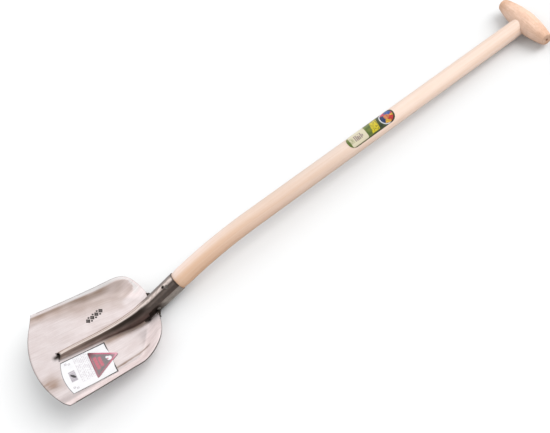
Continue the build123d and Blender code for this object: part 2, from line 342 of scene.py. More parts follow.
def map_range(tree, value, **ends):
    """Map Range node; ends are from_min, from_max, to_min and to_max."""
    node = tree.nodes.new("ShaderNodeMapRange")
    for name, end in ends.items():
        node.inputs[name.replace("_", " ").title()].default_value = end
    tree.links.new(value, node.inputs["Value"])
    return node


def axis_of(tree, vector, name):
    node = tree.nodes.new("ShaderNodeSeparateXYZ")
    tree.links.new(vector, node.inputs["Vector"])
    return node.outputs[name]


def combine(tree, operation, a, b):
    """Math node on two sockets."""
    node = tree.nodes.new("ShaderNodeMath")
    node.operation = operation
    tree.links.new(a, node.inputs[0])
    tree.links.new(b, node.inputs[1])
    return node.outputs["Value"]


def spread(tree, value, low, high):
    """Maps 0..1 to low..high."""
    return map_range(tree, value, to_min=low, to_max=high).outputs["Result"]


def bump(tree, height, strength, distance):
    node = tree.nodes.new("ShaderNodeBump")
    node.inputs["Strength"].default_value = strength
    node.inputs["Distance"].default_value = distance
    tree.links.new(height, node.inputs["Height"])
    return node.outputs["Normal"]


def attribute(tree, name, kind="Vector"):
    node = tree.nodes.new("ShaderNodeAttribute")
    node.attribute_name = name
    return node.outputs[kind]


def object_coordinates(tree):
    return tree.nodes.new("ShaderNodeTexCoord").outputs["Object"]


def brushed_steel():
    """Sheet ground bright along its length; its tint is worked out point by point."""
    material, tree = new_material("blade_steel")
    skin = attribute(tree, "skin")
    fine = noise_node(tree, skin, (12.0, 950.0, 1.0), 4.0, 0.6)
    broad = noise_node(tree, skin, (13.0, 230.0, 1.0), 3.0, 0.55)
    cloud = noise_node(tree, skin, (26.0, 40.0, 1.0), 4.0, 0.6)
    grain = product(tree, ramp(tree, fine, (0.3, (0.88, 0.87, 0.87)), (0.7, 1.06)),
                    ramp(tree, broad, (0.3, (0.93, 0.915, 0.91)), (0.7, 1.03)),
                    ramp(tree, cloud, (0.3, (0.93, 0.90, 0.89)), (0.62, 1.03)))
    colour = product(tree, attribute(tree, "tint", "Color"), grain)
    rough = combine(tree, "ADD", spread(tree, broad, 0.32, 0.42), attribute(tree, "dullness", "Fac"))
    return surface(material, colour, rough, bump(tree, fine, 0.2, 0.00004), Metallic=1.0)


def dark_steel(name, low, high, rough=(0.32, 0.55), dark_span=None):
    """Steel with mill scale: cloudy dark patches and fine scratches, and darker towards low X over the span
    given.
    """
    material, tree = new_material(name)
    place = object_coordinates(tree)
    cloud = noise_node(tree, place, 90.0, 5.0, 0.6)
    scratches = noise_node(tree, place, (60.0, 900.0, 900.0), 3.0, 0.6)
    speckle = noise_node(tree, place, 900.0, 2.0, 0.5)
    worn = ramp(tree, scratches, (0.32, (0.80, 0.79, 0.78)), (0.68, (1.15, 1.14, 1.12)))
    colour = product(tree, ramp(tree, cloud, (0.30, low), (0.66, high)), worn)
    if dark_span:
        x_share = map_range(tree, axis_of(tree, place, "X"), from_min=dark_span[0], from_max=dark_span[1])
        x_share.interpolation_type = "SMOOTHSTEP"
        darkening = ramp(tree, x_share.outputs["Result"], (0.0, (0.13, 0.11, 0.10)), (1.0, 1.0))
        colour = product(tree, colour, darkening)
    normal = bump(tree, speckle, 0.3, 0.0001)
    return surface(material, colour, spread(tree, cloud, *rough), normal, Metallic=1.0)


def wood(name, pale, warm, pore, ring_size, pore_depth):
    """Straight-grained wood over the mesh's grain coordinates; sizes in metres."""
    material, tree = new_material(name)
    grain = attribute(tree, "grain")
    rings = noise_node(tree, grain, (1 / ring_size, 1 / ring_size, 1.6), 3.0, 0.55, 0.6)
    bands = noise_node(tree, grain, (420.0, 420.0, 3.0), 3.0, 0.6)
    pores = noise_node(tree, grain, (1500.0, 1500.0, 42.0), 2.0, 0.5)
    patch = noise_node(tree, grain, (30.0, 30.0, 5.0), 2.0, 0.5)
    colour = product(tree, ramp(tree, rings, (0.34, warm), (0.62, pale)),
                     ramp(tree, bands, (0.34, (0.965, 0.95, 0.93)), (0.60, 1.0)),
                     ramp(tree, pores, (0.30, pore), (0.42, 1.0)),
                     ramp(tree, patch, (0.3, (0.985, 0.955, 0.935)), (0.7, 1.0)),
                     attribute(tree, "tint", "Color"))
    rough = spread(tree, bands, 0.50, 0.66)
    return surface(material, colour, rough, bump(tree, pores, 0.35, pore_depth), Specular_IOR_Level=0.35)


def printed(name, rough=(0.34, 0.46)):
    """Printed paper or film: the print is in the mesh's colours, over a faint fibre."""
    material, tree = new_material(name)
    place = object_coordinates(tree)
    fibres = noise_node(tree, place, 1400.0, 3.0, 0.6)
    cloud = noise_node(tree, place, 120.0, 2.0, 0.5)
    mottle = ramp(tree, fibres, (0.3, (0.965, 0.965, 0.96)), (0.7, 1.0))
    colour = product(tree, attribute(tree, "print", "Color"), mottle)
    return surface(material, colour, spread(tree, cloud, *rough), bump(tree, fibres, 0.2, 0.00004))


def floor_material():
    material, tree = new_material("studio_floor")
    cloud = noise_node(tree, object_coordinates(tree), 3.0, 2.0, 0.5)
    colour = ramp(tree, cloud, (0.3, (0.603, 0.605, 0.608)), (0.7, 0.612))
    return surface(material, colour, spread(tree, cloud, 0.85, 0.95), None, Specular_IOR_Level=0.1)


# ---------------------------------------------------------------- blade

def half_width(x):
    if x < SHOULDER_START:
        return EDGE_CHORD_HALF - EDGE_ROUND - (EDGE_CHORD_HALF - SHOULDER_HALF) * x / SHOULDER_START
    t = min((x - SHOULDER_START) / SHOULDER_LENGTH, 1.0)
    return (SHOULDER_HALF - EDGE_ROUND) * (1 - t ** SHOULDER_POWER) ** (1 / SHOULDER_POWER)


def floor_height(x):
    if x < RISE_START:
        return 0.0
    return RISE_RADIUS - math.sqrt(RISE_RADIUS ** 2 - (x - RISE_START) ** 2)


def rim_height(x):
    side = RIM_FRONT + RIM_CLIMB * (max(x, 0.0) / RIM_LENGTH) ** 1.5
    shoulder = SHOULDER_LIFT * ease_in(x, SHOULDER_LIFT_X, SHOULDER_LIFT_LENGTH)
    return side + shoulder - REAR_DIP * ease_in(x, REAR_DIP_X, REAR_DIP_LENGTH)


def flat_half(x):
    return FLAT_FRONT - FLAT_TAPER * x / RIM_LENGTH - FLAT_CLOSE * ease_in(x, RIM_LENGTH, FLAT_CLOSE_LENGTH)


LIP_START = 0.8             # the wall flattens over its last fifth
LIP_EASE = 3.0


def sheet_height(x, y):
    """Height of the blade's inner face."""
    half = half_width(x)
    flat = min(flat_half(x), half * FLAT_SHARE)
    climb = min(max(abs(y) - flat, 0.0) / (half - flat), 1.0)
    lip = max(climb - LIP_START, 0.0)
    rise = (climb ** 2 - LIP_EASE * lip ** 2) / (1 - LIP_EASE * (1 - LIP_START) ** 2)
    return floor_height(x) + (rim_height(x) - floor_height(x)) * rise


def edge_x(y):
    """The bowed cutting edge."""
    radius = (EDGE_CHORD_HALF ** 2 + EDGE_BULGE ** 2) / (2 * EDGE_BULGE)
    return radius - EDGE_BULGE - math.sqrt(radius ** 2 - y ** 2)


# ridge sections: x, height of the centre, half width, height of the oval
RIDGE = ((13.0, 0.0, 10.0, 7.5), (60.0, 0.0, 11.5, 9.5), (112.0, 0.0, 12.5, 11.5),
         (152.0, 1.5, 14.5, 15.0), (188.0, 6.0, 17.5, 20.0), (229.8, 22.6, 19.8, 19.8))
RIDGE_AT = [natural_spline([r[0] for r in RIDGE], [r[k] for r in RIDGE]) for k in (1, 2, 3)]
RIDGE_START = 12.0
RIDGE_BASE = 229.8
TILT_FROM = 188.0
NOSE_SLANT = 9.0            # the roof of the ridge starts this far behind its two feet
NOSE_FULL = 46.0
FILLET = 3.6
ARC_STEPS = 14
FLANK_STEPS = 6
FILLET_STEPS = 5
FLOOR_STEPS = 44
CONE_STEPS = 42
NOSE_STEPS = 14             # rows ahead of the ridge
CROSSING_STEPS = 12         # columns across the ridge's open end
UNDER_ROWS = (16.0, 20.0, 25.0, 32.0, 40.0)     # the floor inside that end
HALF_COUNT = ARC_STEPS + 1 + FLANK_STEPS + FILLET_STEPS + FLOOR_STEPS
FIRST_FLANK = ARC_STEPS
FIRST_FLOOR = ARC_STEPS + FLANK_STEPS + FILLET_STEPS


def ridge_oval(u):
    """Centre, up direction, half width and height of the ridge's section at u."""
    z, across, high = (at(u) for at in RIDGE_AT)
    tilt = SOCKET_LIFT * ease_in(u, TILT_FROM, RIDGE_BASE - TILT_FROM)
    up = Vector((-math.sin(tilt), 0, math.cos(tilt)))
    return Vector((u, 0, z)), up, across, high


def split_angle(centre, up, high):
    """Angle from the top at which the front and back halves of the socket meet."""
    above = (centre - MOUTH).dot(AXIS_UP)
    share = (SPLIT_ABOVE_AXIS - above) / (high * up.dot(AXIS_UP))
    return math.acos(clamp(share, math.cos(math.radians(75)), math.cos(math.radians(45))))


def half_section(u):
    """Half of the blade's section at u: (point, angle round the ridge or None, run from the crest)."""
    centre, up, across, high = ridge_oval(u)
    split = split_angle(centre, up, high)
    full = ease_in(u, RIDGE_START, 16)
    high = high * (0.86 + 0.14 * full)

    def on_oval(angle):
        return centre + SIDE * across * math.sin(angle) + up * high * math.cos(angle)

    lean = up.z
    ground = sheet_height(u, across)
    foot_angle = math.acos(clamp((ground - centre.z) / (high * lean), -0.9, 0.9))
    crest = centre.z + high * lean
    joined = ease_out(u, 198, BACK_START - 198)
    rise = min(0.42 * (crest - ground), FILLET) * joined + 0.25 * (1 - joined)
    top_share = (ground + rise - centre.z) / (high * lean)
    start_angle = math.acos(clamp(top_share, -0.9, 0.95))
    split = min(split, start_angle * 0.93)
    angles = [split * i / ARC_STEPS for i in range(ARC_STEPS + 1)]
    angles += [split + (start_angle - split) * i / FLANK_STEPS for i in range(1, FLANK_STEPS + 1)]
    points = [on_oval(a) for a in angles]
    if u < NOSE_FULL:
        share = (u - RIDGE_START) / (NOSE_FULL - RIDGE_START)
        for p, a in zip(points, angles):
            slanted = RIDGE_START + NOSE_SLANT * max(math.cos(a), 0.0) ** 1.3
            p.x = slanted + (NOSE_FULL - slanted) * share
    if abs(u - BACK_START) < 0.01:
        for p in points[FIRST_FLANK:]:
            p.x = BACK_START + 0.1
    knee = on_oval(foot_angle)
    knee.x = points[-1].x
    knee.y = max(knee.y, points[-1].y)
    knee.z = sheet_height(u, knee.y)
    foot = Vector((knee.x, knee.y + rise * 1.1, 0))
    foot.z = sheet_height(foot.x, foot.y)
    start = points[-1].copy()
    for i in range(1, FILLET_STEPS + 1):
        t = i / FILLET_STEPS
        points.append(start * (1 - t) ** 2 + knee * 2 * t * (1 - t) + foot * t ** 2)
    half = half_width(u)
    for i in range(1, FLOOR_STEPS + 1):
        w = i / FLOOR_STEPS
        spaced = 1 - (1 - w) ** 1.3
        x = foot.x + (u - foot.x) * min(w * 4, 1.0)
        y = foot.y + (half - foot.y) * spaced
        points.append(Vector((x, y, sheet_height(min(x, REAR_RIM), y))))
    kinds = angles + [None] * (FILLET_STEPS + FLOOR_STEPS)
    run = 0.0
    section = []
    for i, (p, kind) in enumerate(zip(points, kinds)):
        if i:
            run += (p - points[i - 1]).length
        section.append((p, kind, run))
    return section


def cone_half(back):
    """The front half of the socket's cone a distance back from the mouth."""
    radius = MOUTH_RADIUS + (BASE_RADIUS - MOUTH_RADIUS) * back / SOCKET_LENGTH
    split = math.acos(SPLIT_ABOVE_AXIS / radius)
    section = []
    for i in range(ARC_STEPS + 1):
        angle = split * i / ARC_STEPS
        section.append((socket_point(back, angle, radius), angle, radius * angle))
    return section


# steel colours as they are under the white tent
PALE_STEEL = Vector((0.575, 0.519, 0.515))
BROWN_STEEL = Vector((0.348, 0.262, 0.218))
CREAM_STEEL = Vector((0.600, 0.525, 0.490))
TAN_STEEL = Vector((0.390, 0.305, 0.262))
LINE_STEEL = Vector((0.240, 0.180, 0.155))
SCALE_AND_SHADE_STEEL = Vector((0.100, 0.081, 0.072))
SOCKET_FAR = Vector((0.175, 0.152, 0.142))
SOCKET_STREAK_REFLECTION = Vector((0.235, 0.192, 0.170))
# near black: weld scale, and painted shade in hollows, at the ridge's open end and foot, and round the nail
# hole
BLACK_SCALE_AND_SHADE = Vector((0.022, 0.017, 0.014))
RIM_SHADE = Vector((0.085, 0.070, 0.062))
BRIGHTEST = 0.95
# painted shade on the near flank of the ridge at its front, middle and rear, above and below its turn
NEAR_UPPER = (Vector((0.24, 0.178, 0.152)), Vector((0.108, 0.076, 0.063)), BLACK_SCALE_AND_SHADE * 1.7)
NEAR_LOWER = (Vector((0.38, 0.295, 0.262)), Vector((0.255, 0.187, 0.165)),
              Vector((0.150, 0.112, 0.098)))


def wobble(x, y, size, seed=0.0):
    """Soft noise from -1 to 1."""
    return noise.noise(Vector((x / size, y / size, seed)))


def wall_polish_and_sheen(x, y):
    """The rear of the floor is ground brighter than the front; the walls are brightened further by their
    slope, as a painted reflection.
    """
    step = 0.5
    here = min(x, REAR_RIM - step)
    level = sheet_height(here, abs(y))
    across = (sheet_height(here, abs(y) + step) - level) / step
    along = (sheet_height(here + step, abs(y)) - level) / step
    base = 1.04 + 0.08 * ease_in(x, 30, 80)
    if y > 0:
        return base + 0.66 * ease_in(math.degrees(math.atan(across)), 7, 15)
    return base + 0.42 * ease_in(math.degrees(math.atan(math.hypot(across, along))), 12, 12)


def dullness(p):
    """The near wall is scuffed: extra roughness where the floor turns up."""
    inward = half_width(min(p.x, REAR_RIM)) - abs(p.y)
    near = ease_in(-p.y, 40, 20) * ease_out(inward, 22, 16)
    corner = ease_in(-p.y, 30, 15) * ease_in(p.x, 168, 20)
    return 0.30 * max(near, corner)


def far_wall_shade(x, y, inward):
    """Painted brown shade in a band under the far rim, standing for the wall's dark reflection; it runs
    round the shoulder and stops short of the socket.
    """
    lip = 4.2 + 1.2 * ease_in(x, 70, 80)
    reach = 20.0 + 44.0 * ease_in(x, 5, 120)
    share = min(max(inward - lip - 3.0, 0.0) / reach, 1.0)
    fade = mix(1 - share ** 0.75, 0.55 * (1 - share ** 4), ease_in(x, 145, 35))
    close = ease_out(x - 6.0 * wobble(x, y, 9.0, 4.4), 206, 6)
    clear_of_socket = mix(1.0, ease_in(y, 56, 9), ease_in(x, 172, 14))
    return ease_in(inward, lip, 3) * fade * close * clear_of_socket * ease_in(x, -50, 20)


def near_fold_shade(x, y):
    """Painted shade: a narrow brown line along the fold of the near wall."""
    fold = 88.0 - 10.0 * (x - 116.0) / 67.0
    line = ease_in(fold + y, -1, 1.4) * ease_out(fold + y, 1.2, 5)
    return line * ease_in(x, 60, 30) * ease_out(x, 178, 14)


def floor_tint(x, y):
    """Tint of the ground floor and walls: painted brown shade in the folds and beside the ridge, pale
    between them.
    """
    rough = 1 + 0.35 * wobble(x * 0.5, y, 14.0, 3.1)
    # painted brown shade in the folds of the walls and in a band beside the foot of the ridge
    if y > 0:
        brown = far_wall_shade(x, y, half_width(min(x, REAR_RIM)) - abs(y))
        beside = 0.35 * bump_at(y, 16, 12) * ease_in(x, 60, 60) * rough
    else:
        brown = near_fold_shade(x, y)
        beside = bump_at(y, -17, 13) * ease_in(x, 92, 30) * ease_out(x, 200, 14)
    ahead = x - edge_x(clamp(y, 1 - EDGE_CHORD_HALF, EDGE_CHORD_HALF - 1))
    patch = bump_at(ahead, 14, 34) * bump_at(y, -54, 30)
    smear = 0.9 * patch * (1 + 0.7 * wobble(x * 0.25, y, 5.0, 9.0))
    polish_and_sheen = wall_polish_and_sheen(x, y)
    stain_and_shade = BROWN_STEEL * (0.9 if y < -60 else 1 + (polish_and_sheen - 1) * (0.62 - 0.30 * ease_in(x, 40, 60)))
    # painted shadow at the near foot of the ridge
    foot_shadow = bump_at(y, -14, 9) * ease_in(x, 120, 55)
    weld = bump_at(x, 208, 13) * bump_at(abs(y), 22, 9)
    # painted shade on the floor at the ridge's open end
    nose_shade = bump_at(x, RIDGE_START - 1, 10) * bump_at(y, 0.5, 9.5)
    tint = layered(PALE_STEEL * polish_and_sheen,
                   (stain_and_shade, max(brown * rough, smear, beside * rough)),
                   (BLACK_SCALE_AND_SHADE * 3, 0.8 * foot_shadow * rough),
                   (BLACK_SCALE_AND_SHADE, 0.9 * weld * (1 + 0.8 * wobble(x, y, 4.0, 2.2))),
                   (BLACK_SCALE_AND_SHADE, 0.95 * nose_shade * rough))
    return Vector([min(c, BRIGHTEST) for c in tint])


def ridge_tint(u, angle, side):
    """Tint round the ridge; angle is from the top, side is -1 on the near flank. Away from the pale crest
    it is darkened by painted shade: a thin dark line and a tan far flank, a dark near flank and a black
    open end.
    """
    turn = math.degrees(angle) * side
    turn = turn + 2.5 * wobble(u * 0.25, turn * 0.3, 8.0, 1.3)
    rough = 1 + 0.3 * wobble(u * 0.5, turn * 0.4, 7.0, 5.7)
    back = ease_in(u, 28, 95)
    rear = ease_in(u, 95, 75)
    upper, lower = (layered(front, (middle, back), (last, rear))
                    for front, middle, last in (NEAR_UPPER, NEAR_LOWER))
    near = mix(upper, lower, (-turn - 34.0) / 22.0) * rough
    return layered(CREAM_STEEL,
                   (LINE_STEEL, bump_at(turn, 10, 5) * ease_in(u, 30, 30)),
                   (TAN_STEEL, ease_in(turn, 22, 7) * rough),
                   (near, ease_in(-turn, 5, 8)),
                   (socket_tint(u, turn, angle * side), ease_in(u, 196, 36)),
                   # painted shade: black at the ridge's open end
                   (BLACK_SCALE_AND_SHADE, 0.7 * ease_out(u, RIDGE_START, 5)))


def socket_tint(u, turn, angle):
    """Tint of the socket's front: a painted highlight along the crest, bands each side of it that are
    partly mill scale and partly painted shade, a painted reflection streak, a black mouth, and painted
    shade in the hole and round the nail head.
    """
    from_mouth = u - RIDGE_BASE - SOCKET_LENGTH
    beside = (SOCKET_FAR, (turn - 8) / 9.0) if turn > 8 else (SCALE_AND_SHADE_STEEL, (-turn - 11.0) / 7.0)
    # painted reflection: a paler streak in the dark band on the near side
    painted_streak = bump_at(turn, -33, 11) * ease_in(u, 212, 16) * (0.75 + 0.6 * wobble(u, turn, 9.0, 1.9))
    grime = smooth_step((wobble(u, turn * 0.5, 6.0, 12.0) + 0.1) * 2.2)
    hole_apart = math.hypot(from_mouth + NAIL_HOLE_BACK, (angle - NAIL_HOLE_TURN) * MOUTH_RADIUS)
    nail_apart = math.hypot(from_mouth + NAIL_BACK, (angle - NAIL_TURN) * MOUTH_RADIUS)
    # painted shade round the nail hole and the nail head
    hole_shade = max(ease_out(hole_apart, 2.8, 1.6), 0.75 * ease_out(nail_apart, 3, 1.8))
    return layered(CREAM_STEEL, beside,
                   (SOCKET_STREAK_REFLECTION, 0.8 * painted_streak),
                   # painted shade: a thin dark line beside the crest
                   (SCALE_AND_SHADE_STEEL * 1.3, 0.75 * bump_at(turn, 9.5, 4)),
                   (BROWN_STEEL * 0.42, 0.35 * grime),
                   (BLACK_SCALE_AND_SHADE * 2, 0.85 * ease_in(from_mouth, -3.2, 2.6)),
                   (BLACK_SCALE_AND_SHADE * 0.2, hole_shade))


def rim_shade(tint, outermost):
    """Darkened towards the edge of the sheet, a painted shade that draws its outline."""
    return mix(tint, RIM_SHADE, 0.9 if outermost else 0.45)


def point_tint(u, point, angle):
    side = 1 if point.y >= 0 else -1
    if angle is not None:
        return ridge_tint(u, angle, side)
    lifted = ease_in(point.z, sheet_height(min(point.x, REAR_RIM), point.y), 3)
    return mix(floor_tint(point.x, point.y), ridge_tint(u, 1.4, side), lifted)


def blade_stations():
    """Where the sections stand, from the ridge's end to the rear rim."""
    front = list(np.linspace(RIDGE_START, SHOULDER_START, 36))
    reach = math.asin(((REAR_RIM - SHOULDER_START) / SHOULDER_LENGTH) ** (SHOULDER_POWER / 2))
    turn = [SHOULDER_START + SHOULDER_LENGTH * math.sin(reach * i / 30) ** (2 / SHOULDER_POWER)
            for i in range(1, 31)]
    turn = [x for x in turn if abs(x - BACK_START) > 0.9]
    return front + sorted(turn + [BACK_START])


def build_blade():
    """The ground sheet with its hollow ridge and the front half of the socket, one pressing."""
    points, tints, skins, faces = [], [], [], []

    def add(point, tint, skin):
        points.append(point)
        tints.append(tint)
        skins.append((skin[0] * MM, skin[1] * MM, 0.0))
        return len(points) - 1

    def add_half(section, u, side, skip_crest):
        made = []
        for i, (p, angle, run) in enumerate(section):
            if i == 0 and skip_crest:
                continue
            q = Vector((p.x, p.y * side, p.z))
            tint = point_tint(u, q, angle)
            if i >= HALF_COUNT - 2:
                tint = rim_shade(tint, i == HALF_COUNT - 1)
            made.append(add(q, tint, (u, run * side)))
        return made

    def add_row(section, u):
        right = add_half(section, u, 1, False)
        left = add_half(section, u, -1, True)
        return left[::-1] + right

    stations = blade_stations()
    rows = [add_row(half_section(u), u) for u in stations]
    cone_backs = [SOCKET_LENGTH * (1 - i / CONE_STEPS) for i in range(CONE_STEPS + 1)]
    cone_rows = [add_row(cone_half(back), RIDGE_BASE + SOCKET_LENGTH - back) for back in cone_backs]

    def join(a, b, skip=None):
        for j in range(len(a) - 1):
            if not (skip and skip(j)):
                faces.append((a[j], b[j], b[j + 1], a[j + 1]))

    middle = HALF_COUNT - 1

    def open_flank(j):
        """True for the columns that the back half of the socket takes over."""
        out = abs(j + 0.5 - middle)
        return FIRST_FLANK < out < FIRST_FLOOR

    for i in range(len(rows) - 1):
        behind = stations[i] >= BACK_START - 0.01
        join(rows[i], rows[i + 1], open_flank if behind else None)
    arc = rows[-1][middle - ARC_STEPS:middle + ARC_STEPS + 1]
    join(arc, cone_rows[0])
    for a, b in zip(cone_rows, cone_rows[1:]):
        join(a, b)

    # ahead of the ridge: the floor runs on to the bowed edge
    first = rows[0]
    left_floor = first[:middle - FIRST_FLOOR + 1]
    right_floor = first[middle + FIRST_FLOOR:]
    foot = points[right_floor[0]].y
    centre = []
    for k in range(1, CROSSING_STEPS):
        y = foot * (2 * k / CROSSING_STEPS - 1)
        centre.append(add(Vector((RIDGE_START, y, 0)), floor_tint(RIDGE_START, y), (RIDGE_START, y)))
    last = left_floor + centre + right_floor
    front_rows = []
    for t in (0.0, 0.02, *(r / NOSE_STEPS for r in range(1, NOSE_STEPS))):
        row = []
        for index in last:
            y = points[index].y
            across = y / half_width(RIDGE_START)
            for _ in range(4):
                x = mix(edge_x(clamp(y, -EDGE_CHORD_HALF, EDGE_CHORD_HALF)), RIDGE_START, t)
                y = across * half_width(x)
            tint = floor_tint(x, y)
            if t < 0.03 or EDGE_CHORD_HALF - abs(y) < 1.4:
                tint = rim_shade(tint, t == 0)
            row.append(add(Vector((x, y, sheet_height(x, y))), tint, (x, y)))
        front_rows.append(row)
    front_rows.append(last)
    for a, b in zip(front_rows, front_rows[1:]):
        join(a, b)

    # the floor under the end of the ridge, inside its open mouth, painted black as shade
    under = centre
    for x in UNDER_ROWS:
        row = []
        for index in centre:
            y = points[index].y * 0.92
            row.append(add(Vector((x, y, -0.02)), BLACK_SCALE_AND_SHADE, (x, y)))
        join(under, row)
        under = row

    blade = make_object("blade_sheet", points, faces)
    add_colours(blade, "tint", tints)
    add_vectors(blade, "skin", skins)
    add_numbers(blade, "dullness", [dullness(p) for p in points])
    thicken(blade, SHEET - 0.1)
    settle(blade)
    cut_nail_hole(blade)
    return blade


def cut_nail_hole(blade):
    """The open nail hole at the top of the socket."""
    out = spoke(NAIL_HOLE_TURN, AXIS_UP, SIDE)
    at = socket_point(NAIL_HOLE_BACK, NAIL_HOLE_TURN, MOUTH_RADIUS)
    count = 20
    ring = [spoke(turn, AXIS, AXIS.cross(out)) * NAIL_HOLE_RADIUS for turn in turns(count)]
    points = [at + r - out * 4 for r in ring] + [at + r + out * 4 for r in ring]
    faces = [tuple(range(count)), tuple(reversed(range(count, 2 * count)))]
    faces += [(i, i + count, (i + 1) % count + count, (i + 1) % count) for i in range(count)]
    cutter = make_object("nail_hole_cutter", points, faces)
    cut = blade.modifiers.new("hole", "BOOLEAN")
    cut.object = cutter
    cut.operation = "DIFFERENCE"
    cut.solver = "EXACT"
    settle(blade)
    bpy.data.objects.remove(cutter)
    # the cut's own points come out with blank colours, so they are painted black as shade inside the hole
    centre = TO_ROW @ (at * MM)
    axis = TO_ROW.to_3x3() @ out
    for vertex, paint in zip(blade.data.vertices, blade.data.attributes["tint"].data):
        offset = vertex.co - centre
        along = offset.dot(axis)
        if abs(along) < 5 * MM and (offset - axis * along).length < (NAIL_HOLE_RADIUS + 0.1) * MM:
            paint.color = (*BLACK_SCALE_AND_SHADE, 1.0)


# ---------------------------------------------------------------- welds and stamp

def build_bead(name, path, radius, seed):
    """A lumpy run of weld along a path."""
    steps = 46
    around = 14
    phase = random.Random(seed).random() * 10
    points = []
    at = [natural_spline(range(len(path)), [p[k] for p in path]) for k in range(3)]

    def place(t):
        return Vector([a(t * (len(path) - 1)) for a in at])

    for i in range(steps + 1):
        t = i / steps
        here = place(t)
        ahead = (place(min(t + 0.01, 1)) - place(max(t - 0.01, 0))).normalized()
        side = ahead.orthogonal().normalized()
        taper = math.sqrt(max(1 - (2 * t - 1) ** 8, 0.0))
        ripple = 1 + 0.16 * math.sin(t * steps * 0.9 + phase)
        for angle in turns(around):
            lump = 1 + 0.45 * noise.noise(Vector((t * 9 + phase, math.cos(angle), math.sin(angle))))
            points.append(here + spoke(angle, side, ahead.cross(side)) * radius * taper * ripple * lump)
    bead = make_object(name, points, grid_faces(steps + 1, around, closed=True))
    shade(bead, 60)
    return bead


def weld_paths():
    """Along the foot of the socket on the floor, and down the joint between its halves."""
    found = {}
    radius = BASE_RADIUS + 0.1
    for side, name in ((-1, "near"), (1, "far")):
        foot = []
        for u in (199.0, 206.0, 214.0, 221.0, 228.0):
            y = ridge_oval(u)[2] + 0.6
            foot.append((u, side * y, sheet_height(u, y) + 0.4))
        found[f"weld_foot_{name}"] = (foot, 2.1)
        angle = math.acos(SPLIT_ABOVE_AXIS / radius) * side
        seam = [socket_point(SOCKET_LENGTH + past, angle, radius) for past in (6, 0, -7)]
        found[f"weld_seam_{name}"] = (seam, 1.0)
    return found


# corners of the web: distance behind the rear rim, distance from the middle, height
WEB = ((-2.5, 19.0, 0.0), (-2.0, 35.0, 0.0), (3.5, 30.0, 1.8), (9.0, 20.0, 4.6))
STAMP_ENDS = (Vector((99.0, 50.5, 0)), Vector((130.5, 61.5, 0)))
LOZENGES = 4


def build_web(name, side):
    """A small corner left on the rear edge of the sheet, against the side of the socket."""
    low = sheet_height(REAR_RIM, 26.0) - 1.2
    points = [(REAR_RIM + back, side * y, low + up) for back, y, up in WEB]
    web = make_object(name, points, [(0, 1, 2, 3)])
    thicken(web, 1.6, 0.35)
    return settle(web)


def build_stamp():
    """A shallow mark struck in the floor: a plain row of lozenges."""
    start, end = STAMP_ENDS
    along = (end - start).normalized()
    across = Vector((-along.y, along.x, 0))
    points, faces = [], []

    def ring(centre, long, wide, inner):
        first = len(points)
        for scale in (1.0, inner):
            for dx, dy in ((long, 0), (0, wide), (-long, 0), (0, -wide)):
                p = centre + along * dx * scale + across * dy * scale
                points.append(Vector((p.x, p.y, sheet_height(p.x, p.y) + 0.06)))
        for i in range(4):
            j = (i + 1) % 4
            faces.append((first + i, first + j, first + 4 + j, first + 4 + i))

    for i in range(LOZENGES):
        centre = start.lerp(end, i / (LOZENGES - 1))
        ring(centre, 5.3, 6.6, 0.42)
        ring(centre, 1.9, 2.2, 0.1)
    for i in range(LOZENGES - 1):
        middle = start.lerp(end, (i + 0.5) / (LOZENGES - 1))
        for side in (-1, 1):
            ring(middle + across * 5.6 * side, 2.6, 3.0, 0.1)
    stamp = make_object("blade_stamp", points, faces)
    thicken(stamp, 0.1, 0)
    return settle(stamp)


# ---------------------------------------------------------------- shaft and grip

def run_frame(run):
    """Centre and direction of the shaft a distance from the socket's mouth, negative inside it."""
    if run <= STRAIGHT_LOW:
        return MOUTH + AXIS * run, AXIS
    turned = min(run - STRAIGHT_LOW, BEND_RADIUS * BEND_ANGLE)
    angle = SOCKET_LIFT - turned / BEND_RADIUS
    start = MOUTH + AXIS * STRAIGHT_LOW
    centre = start - AXIS_UP * BEND_RADIUS
    point = centre + Vector((-math.sin(angle), 0, math.cos(angle))) * BEND_RADIUS
    direction = Vector((math.cos(angle), 0, math.sin(angle)))
    return point + direction * (run - STRAIGHT_LOW - turned), direction


def shaft_radius(run):
    bore = MOUTH_RADIUS - 1.95
    if run < 0:
        inside = min(-run / SOCKET_LENGTH, 1.0)
        radius = bore + (BASE_RADIUS - MOUTH_RADIUS) * inside
        tip = max(-run - SOCKET_LENGTH, 0.0) / (SEAT_DEPTH - SOCKET_LENGTH)
        return radius + (SEAT_TIP - radius) * tip
    full = SHAFT_LOW + (SHAFT_HIGH - SHAFT_LOW) * run / SHAFT_RUN
    return bore + (full - bore) * smooth_step(run / ENTRY)


def bar_profile(y):
    """Radius of the crossbar a distance from its middle."""
    return BAR_RADIUS - (BAR_CROWN - math.sqrt(BAR_CROWN ** 2 - y ** 2))


GRIP_CENTRE, GRIP_DIR = run_frame(SHAFT_RUN)
GRIP_UP = Vector((-GRIP_DIR.z, 0, GRIP_DIR.x))
STEM_AROUND = 64
LAST_STRAIGHT = SHAFT_RUN - 34.0    # from here the rows of points turn into the coped end
COPE_STEPS = 10
TENON_LEVELS = (1.0, 0.97, 0.8, 0.5, 0.2)


def shaft_point(run, angle, lift=0.0):
    """A point on the shaft; angle is in radians from the top towards +Y."""
    centre, direction = run_frame(run)
    up = Vector((-direction.z, 0, direction.x))
    return centre + spoke(angle, up, SIDE) * (shaft_radius(run) + lift)


def grain_at(radius, angle, along):
    """Grain coordinates in metres: across the wood, then along it."""
    return (radius * math.sin(angle) * MM, radius * math.cos(angle) * MM, along * MM)


def build_wooden(name, points, faces, grain, tints, sharp):
    made = make_object(name, points, faces)
    add_vectors(made, "grain", grain)
    add_colours(made, "tint", tints)
    shade(made, sharp)
    return made


